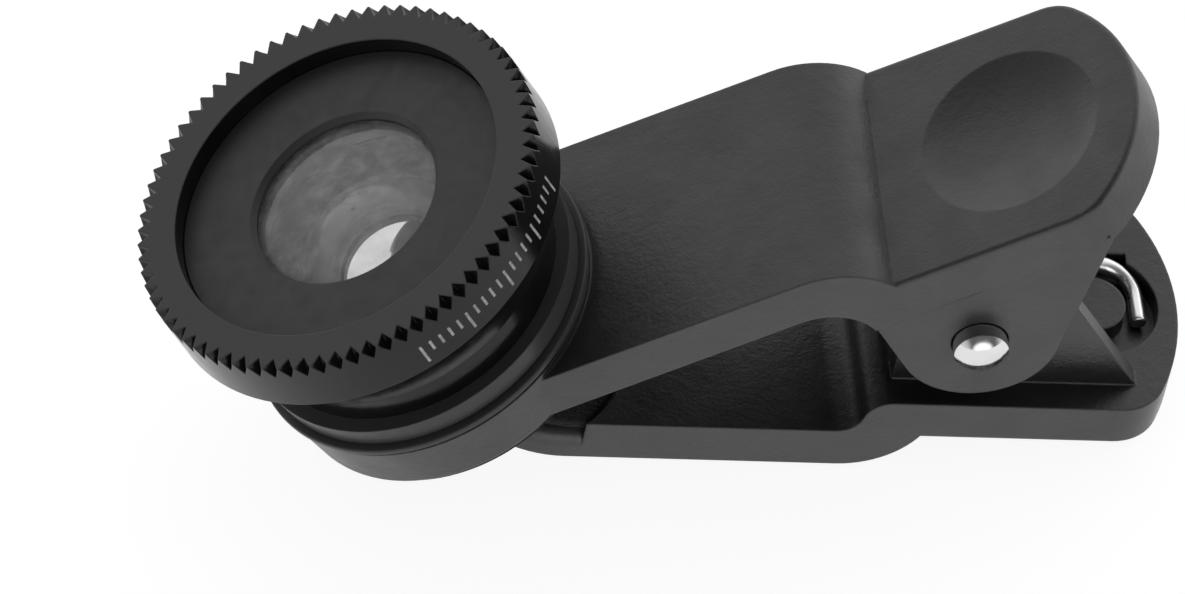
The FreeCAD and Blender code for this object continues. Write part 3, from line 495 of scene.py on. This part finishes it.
def tube(name, path, radius, material):
    """A closed round tube along a path, with flat ends whose edge is slightly rounded."""
    count = len(path)
    ways = [(path[min(n + 1, count - 1)] - path[max(n - 1, 0)]).normalized() for n in range(count)]
    side = ways[0].orthogonal().normalized()
    stations = []
    for point, way in zip(path, ways):
        side = (side - way * side.dot(way)).normalized()
        stations.append((point, way, side, radius))
    round_off = radius * WIRE_END_ROUND
    lip = round_off * WIRE_END_LIP
    start, start_way, start_side = stations[0][:3]
    end, end_way, end_side = stations[-1][:3]
    lead = [(start, start_way, start_side, radius - round_off),
            (start + start_way * lip, start_way, start_side, radius - lip)]
    tail = [(end - end_way * lip, end_way, end_side, radius - lip),
            (end, end_way, end_side, radius - round_off)]
    stations[0] = (start + start_way * round_off, start_way, start_side, radius)
    stations[-1] = (end - end_way * round_off, end_way, end_side, radius)
    angles = [2 * math.pi * n / WIRE_SIDES for n in range(WIRE_SIDES)]
    rings = []
    for point, way, across, size in lead + stations + tail:
        up = way.cross(across)
        rings.append([point + (across * math.cos(a) + up * math.sin(a)) * size for a in angles])
    return mesh_of(name, rings, material, sharp=50)


def on_lens(radius, angle, height):
    """A point in metres from millimetres about the lens axis."""
    return LENS_PLACE @ (Vector((radius * math.cos(angle), radius * math.sin(angle), height)) * MM)


def helix_ridge(name, radius, foot, top, phase, outward, material):
    """A thread's ridge: a small three-sided bar round the lens axis, faded out at both ends."""
    steps = int(THREAD_STEPS_A_TURN * (top - foot) / THREAD_PITCH)
    rings = []
    for n in range(steps + 1):
        angle = phase + 2 * math.pi * n / THREAD_STEPS_A_TURN
        middle = foot + THREAD_PITCH * n / THREAD_STEPS_A_TURN
        fade = min(1.0, n / THREAD_FADE_STEPS, (steps - n) / THREAD_FADE_STEPS)
        tip = radius + outward * (THREAD_HEIGHT * fade - THREAD_ROOT * (1 - fade) * 0.5)
        root = radius - outward * THREAD_ROOT
        half = THREAD_HALF_WIDTH
        rings.append([on_lens(root, angle, middle - half), on_lens(tip, angle, middle),
                      on_lens(root, angle, middle + half)])
    return mesh_of(name, rings, material, sharp=20)


def scale_marks(material):
    """Thin painted marks along the band, each curved with it."""
    made = bmesh.new()
    face = BARREL_RADIUS + MARK_PROUD
    back = BARREL_RADIUS - MARK_PROUD
    top = LENS_LENGTH - MARK_DEPTH
    half = MARK_WIDTH / 2 / BARREL_RADIUS
    for number, degrees in enumerate(range(MARK_START, MARK_END + 1, MARK_STEP)):
        length = LONG_MARK if number % MARK_GROUP == 0 else MARK_LENGTH
        angles = [math.radians(degrees) + half * side for side in MARK_ACROSS]
        levels = (top - length, top)
        outer = [[made.verts.new(on_lens(face, angle, z)) for angle in angles] for z in levels]
        inner = [[made.verts.new(on_lens(back, angle, z)) for angle in angles] for z in levels]
        for n in range(3):
            made.faces.new((outer[0][n], outer[0][n + 1], outer[1][n + 1], outer[1][n]))
            made.faces.new((inner[0][n], inner[1][n], inner[1][n + 1], inner[0][n + 1]))
            made.faces.new((outer[0][n], inner[0][n], inner[0][n + 1], outer[0][n + 1]))
            made.faces.new((outer[1][n], outer[1][n + 1], inner[1][n + 1], inner[1][n]))
        made.faces.new((outer[0][0], outer[1][0], inner[1][0], inner[0][0]))
        made.faces.new((outer[0][3], inner[0][3], inner[1][3], outer[1][3]))
    mesh = bpy.data.meshes.new("scale_marks")
    made.to_mesh(mesh)
    made.free()
    return new_piece("scale_marks", mesh, material, smooth=False)


# Foam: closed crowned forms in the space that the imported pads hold
def foam_grain(point):
    """How far a foam surface stands off its even shape, in millimetres."""
    coarse = noise.noise(point * COARSE_GRAIN)
    fine = noise.noise(point * FINE_GRAIN)
    return FOAM_GRAIN * (coarse + fine)


def foam_ring(material):
    """The ring: flat where it is glued, crowned and grained where it grips."""
    middle = (RING_FOAM_INNER + RING_FOAM_OUTER) / 2
    half = (RING_FOAM_OUTER - RING_FOAM_INNER) / 2
    depth = RING_FOAM_TOP - RING_FOAM_FOOT
    section = [(-half, 0.0)]
    for n in range(RING_SECTION_STEPS + 1):
        turn = math.pi * n / RING_SECTION_STEPS
        across = -math.cos(turn)
        offset = half * math.copysign(abs(across) ** RING_SQUARENESS, across)
        section.append((offset, RING_SHOULDER + RING_CROWN * math.sin(turn) ** RING_SQUARENESS))
    section.append((half, 0.0))
    rings = []
    for n in range(RING_SIDES):
        angle = 2 * math.pi * n / RING_SIDES
        ring = []
        for offset, share in section:
            radius = middle + offset * RING_FILL
            height = RING_FOAM_TOP - depth * share * RING_FILL
            if share > 0.0:
                point = Vector((radius * math.cos(angle), radius * math.sin(angle), height))
                height += abs(foam_grain(point))
            ring.append(on_lens(radius, angle, height))
        rings.append(ring)
    return mesh_of("foam_ring", rings, material, close_rings=True, sharp=60)


def pad_outline():
    """The pad's plan, from its straight front round to the bulging back, in millimetres."""
    points = []
    corner_x = PAD_FRONT + PAD_CORNER
    corner_y = PAD_HALF - PAD_CORNER
    arc_x = PAD_BACK - PAD_BACK_ARC
    sweep = math.asin(PAD_HALF / PAD_BACK_ARC)
    for n in range(PAD_BACK_STEPS + 1):
        turn = sweep * (2 * n / PAD_BACK_STEPS - 1)
        points.append((arc_x + PAD_BACK_ARC * math.cos(turn), PAD_BACK_ARC * math.sin(turn)))
    quarter = [math.pi / 2 * n / PAD_CORNER_STEPS for n in range(PAD_CORNER_STEPS + 1)]
    for turn in quarter:
        points.append((corner_x - PAD_CORNER * math.sin(turn), corner_y + PAD_CORNER * math.cos(turn)))
    for n in range(PAD_FRONT_STEPS + 1):
        points.append((PAD_FRONT, corner_y * PAD_FRONT_SHARE * (1 - 2 * n / PAD_FRONT_STEPS)))
    for turn in quarter:
        points.append((corner_x - PAD_CORNER * math.cos(turn), -corner_y - PAD_CORNER * math.sin(turn)))
    return points


def foam_pad(material):
    """The pad on the jaw: flat where it is glued, with rounded edges and a crowned, grained top."""
    outline = pad_outline()
    centre_x = (PAD_FRONT + PAD_BACK) / 2
    reach = (PAD_BACK - PAD_FRONT) / 2
    levels = [(0.0, 0.0), (0.0, PAD_SIDE_MIDDLE), (0.0, PAD_SHOULDER)]
    for n in range(1, PAD_EDGE_STEPS + 1):
        turn = math.pi / 2 * n / PAD_EDGE_STEPS
        levels.append((FOAM_EDGE * (1 - math.cos(turn)), PAD_SHOULDER + PAD_EDGE_RISE * math.sin(turn)))
    for n in range(1, PAD_TOP_STEPS + 1):
        inset = FOAM_EDGE + (reach - FOAM_EDGE - PAD_CENTRE_GAP) * n / PAD_TOP_STEPS
        rise = math.sin(math.pi / 2 * min(1.0, n / PAD_CROWN_STEPS))
        levels.append((inset, PAD_TOP + PAD_CROWN * rise))
    rings = []
    for inset, share in levels:
        scale = PAD_FILL - inset / reach
        height = PAD_FLOOR + PAD_THICKNESS * share
        ring = []
        for x, y in outline:
            point = Vector((centre_x + (x - centre_x) * scale, y * scale, height))
            if share > PAD_GRAIN_START:
                point.z += foam_grain(point) * PAD_GRAIN_SHARE
            ring.append(LOWER_PLACE @ (point * MM))
        rings.append(ring)
    return mesh_of("foam_pad", rings, material, sharp=60)


# Torsion spring: the coil stays where it is, and each leg stays with its own tab
def tab_point(reach, lift, turn):
    """A place along and across a tab that is turned about the hinge, in millimetres."""
    x = reach * math.cos(turn) - lift * math.sin(turn)
    z = reach * math.sin(turn) + lift * math.cos(turn)
    return x, z


def leg_path(start, corner, end, turn_radius):
    """A straight leg, its bend and its foot."""
    toward = (start - corner).normalized()
    away = (end - corner).normalized()
    half = toward.angle(away) / 2
    back = turn_radius / math.tan(half)
    middle = corner + (toward + away).normalized() * (turn_radius / math.sin(half))
    first = corner + toward * back
    last = corner + away * back
    sweep = math.pi - 2 * half
    spoke = first - middle
    axis = spoke.cross(last - middle).normalized()
    turns = [sweep * n / BEND_STEPS for n in range(BEND_STEPS + 1)]
    lead = [start.lerp(first, n / LEG_STEPS) for n in range(LEG_STEPS)]
    bend = [middle + Matrix.Rotation(turn, 3, axis) @ spoke for turn in turns]
    foot = [last.lerp(end, n / FOOT_STEPS) for n in range(1, FOOT_STEPS + 1)]
    return lead + bend + foot


def make_spring(material):
    """The coil, a leg toward each tab, and the places in metres where the coil starts and ends."""
    low_x, low_z = tab_point(FOOT_REACH, LOW_FOOT, 0.0)
    high_x, high_z = tab_point(FOOT_REACH, HIGH_FOOT, ARM_ANGLE)
    low_turn = math.atan2(low_z, low_x) - math.acos(COIL_RADIUS / math.hypot(low_x, low_z))
    high_turn = math.atan2(high_z, high_x) + math.acos(COIL_RADIUS / math.hypot(high_x, high_z))
    turned_by = low_turn + 2 * math.pi - high_turn + 2 * math.pi * COIL_TURNS
    height = COIL_PITCH * turned_by / (2 * math.pi)
    coil = []
    for n in range(COIL_STEPS + 1):
        share = n / COIL_STEPS
        angle = high_turn + turned_by * share
        y = -height / 2 + height * share
        coil.append(Vector((COIL_RADIUS * math.cos(angle), y, COIL_RADIUS * math.sin(angle))))
    place = LOWER_PLACE @ Matrix.Scale(MM, 4)
    paths = [("spring_coil", coil)]
    for name, x, z, start, way in (("spring_high_leg", high_x, high_z, coil[0], 1),
                                   ("spring_low_leg", low_x, low_z, coil[-1], -1)):
        span = math.hypot(x - start.x, z - start.z)
        slope = way * COIL_PITCH / (2 * math.pi * COIL_RADIUS)
        corner = Vector((x, start.y - slope * span, z))
        end = corner + Vector((0, way * FOOT_LENGTH, 0))
        paths.append((name, leg_path(start, corner, end, FOOT_TURN)))
    pieces = []
    for name, path in paths:
        pieces.append(tube(name, [place @ point for point in path], WIRE_RADIUS * MM, material))
    return pieces, place @ coil[0], place @ coil[-1]


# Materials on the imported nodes
plastic = moulded_plastic("satin_black_plastic", 1.0)
# The lower arm's inside is darker than its sides: painted shade of the upper arm over it
shaded_lower_plastic = moulded_plastic("lower_black_plastic_painted_shade", 0.6)
anodised = anodised_black()
paint = matt_paint()
black_ring = ring_metal()
# Pale grey on black inner parts: painted light for the glow inside the lens
painted_haze_stop = pale_grey_painted_haze()
steel = polished_steel()
wire = drawn_wire()
foam = foam_rubber()
front_glass = optical_glass("front_optical_glass", ground=True)
glass = optical_glass("optical_glass")

NODE_MATERIALS = {
    "upper_arm": plastic, "lower_arm": shaded_lower_plastic,
    "lens_barrel": anodised, "mount_ring": anodised,
    # The stop and the spacers take the pale grey of painted light
    "front_mask": paint, "front_stop": painted_haze_stop,
    "front_spacer": painted_haze_stop, "rear_spacer": painted_haze_stop, "retaining_ring": black_ring,
    "pivot_pin": steel,
    "front_glass": front_glass, "middle_glass": glass, "rear_glass": glass,
    "upper_jaw_pad": foam, "lower_jaw_pad": foam, "torsion_spring": wire,
}
for node_name, material in NODE_MATERIALS.items():
    node = frame["nodes"][node_name]
    for material_slot in node.material_slots:
        material_slot.material = material

# Spring
(coil, high_leg, low_leg), high_end, low_end = make_spring(wire)
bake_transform(coil)
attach(high_leg, "upper")
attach(low_leg, "lower")
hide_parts("torsion_spring")

# Foam
ring_piece = foam_ring(foam)
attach(ring_piece, "upper")
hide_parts("upper_jaw_pad")
pad_piece = foam_pad(foam)
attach(pad_piece, "lower")
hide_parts("lower_jaw_pad")

# Threads and the scale on the band
ridge = helix_ridge("mount_thread", THREAD_RADIUS, THREAD_FOOT, THREAD_TOP, 0.0, 1, anodised)
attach(ridge, "lens_shell")
bore_ridge = helix_ridge("bore_thread", BORE_RADIUS, BORE_FOOT, BORE_TOP, BORE_PHASE, -1, plastic)
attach(bore_ridge, "upper")
marks = scale_marks(mark_paint())
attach(marks, "lens_shell")


# Stage: a pale floor, a soft bright room and the camera
def make_floor():
    """A pale floor that glows to rays that see it: from the camera, in a gloss or through glass."""
    mesh = bpy.data.meshes.new("floor")
    corners = [(x * FLOOR_HALF, y * FLOOR_HALF, 0) for x, y in ((-1, -1), (1, -1), (1, 1), (-1, 1))]
    mesh.from_pydata(corners, [], [(0, 1, 2, 3)])
    made = Nodes("pale_floor")
    made.set(Base_Color=(FLOOR_SHADE, FLOOR_SHADE, FLOOR_SHADE, 1.0), Roughness=0.9, Specular_IOR_Level=0.0)
    glow = made.add("ShaderNodeEmission", Color=(1.0, 1.0, 1.0, 1.0), Strength=FLOOR_GLOW)
    rays = made.add("ShaderNodeLightPath").outputs
    seen = made.maths("MAXIMUM", rays["Is Camera Ray"], rays["Is Glossy Ray"])
    shown = made.maths("MAXIMUM", seen, rays["Is Transmission Ray"])
    share = made.maths("MULTIPLY", shown, FLOOR_SHARE)
    surface = made.mixed(share, made.shader.outputs["BSDF"], glow.outputs["Emission"])
    made.feed(made.output, "Surface", surface)
    new_piece("floor", mesh, made.material, smooth=False)


def make_world():
    """A light on each of four sides of a dim room, which shows white to the camera."""
    world = bpy.data.worlds.new("studio")
    bpy.context.scene.world = world
    world.use_nodes = True
    tree = world.node_tree
    way = tree.nodes.new("ShaderNodeTexCoord").outputs["Generated"]
    total = None
    for aim, start, end, level in ROOM_LIGHTS:
        dot = tree.nodes.new("ShaderNodeVectorMath")
        dot.operation = "DOT_PRODUCT"
        tree.links.new(way, dot.inputs[0])
        dot.inputs[1].default_value = Vector(aim).normalized()
        lobe = tree.nodes.new("ShaderNodeMapRange")
        lobe.interpolation_type = "SMOOTHSTEP"
        lobe.inputs["From Min"].default_value = math.cos(math.radians(start))
        lobe.inputs["From Max"].default_value = math.cos(math.radians(end))
        lobe.inputs["To Max"].default_value = level
        tree.links.new(dot.outputs["Value"], lobe.inputs["Value"])
        joined = tree.nodes.new("ShaderNodeMath")
        tree.links.new(lobe.outputs["Result"], joined.inputs[0])
        if total is None:
            joined.inputs[1].default_value = ROOM_LEVEL
        else:
            tree.links.new(total, joined.inputs[1])
        total = joined.outputs[0]
    strength = tree.nodes.new("ShaderNodeMix")
    camera_ray = tree.nodes.new("ShaderNodeLightPath").outputs["Is Camera Ray"]
    tree.links.new(camera_ray, strength.inputs["Factor"])
    tree.links.new(total, strength.inputs["A"])
    strength.inputs["B"].default_value = 1.0
    background = tree.nodes["Background"]
    background.inputs["Color"].default_value = (1.0, 1.0, 1.0, 1.0)
    tree.links.new(strength.outputs["Result"], background.inputs["Strength"])


def make_camera():
    turn = LENS_PLACE.to_3x3()
    right = turn @ CAMERA_RIGHT
    up = turn @ CAMERA_UP
    back = right.cross(up).normalized()
    up = back.cross(right)
    front = LENS_PLACE @ Vector((0.0, 0.0, LENS_LENGTH * MM))
    place = front + (right * CAMERA_OFFSET.x + up * CAMERA_OFFSET.y + back * CAMERA_OFFSET.z) * MM
    data = bpy.data.cameras.new("camera")
    data.lens = CAMERA_LENS
    data.sensor_width = SENSOR_WIDTH
    data.clip_start = CAMERA_NEAR
    data.clip_end = CAMERA_FAR
    camera = bpy.data.objects.new("camera", data)
    bpy.context.scene.collection.objects.link(camera)
    facing = Matrix((right, up, back)).transposed().to_4x4()
    camera.matrix_world = Matrix.Translation(place) @ facing
    bpy.context.scene.camera = camera


make_floor()
make_world()
make_camera()

bpy.context.scene.view_settings.view_transform = "Standard"
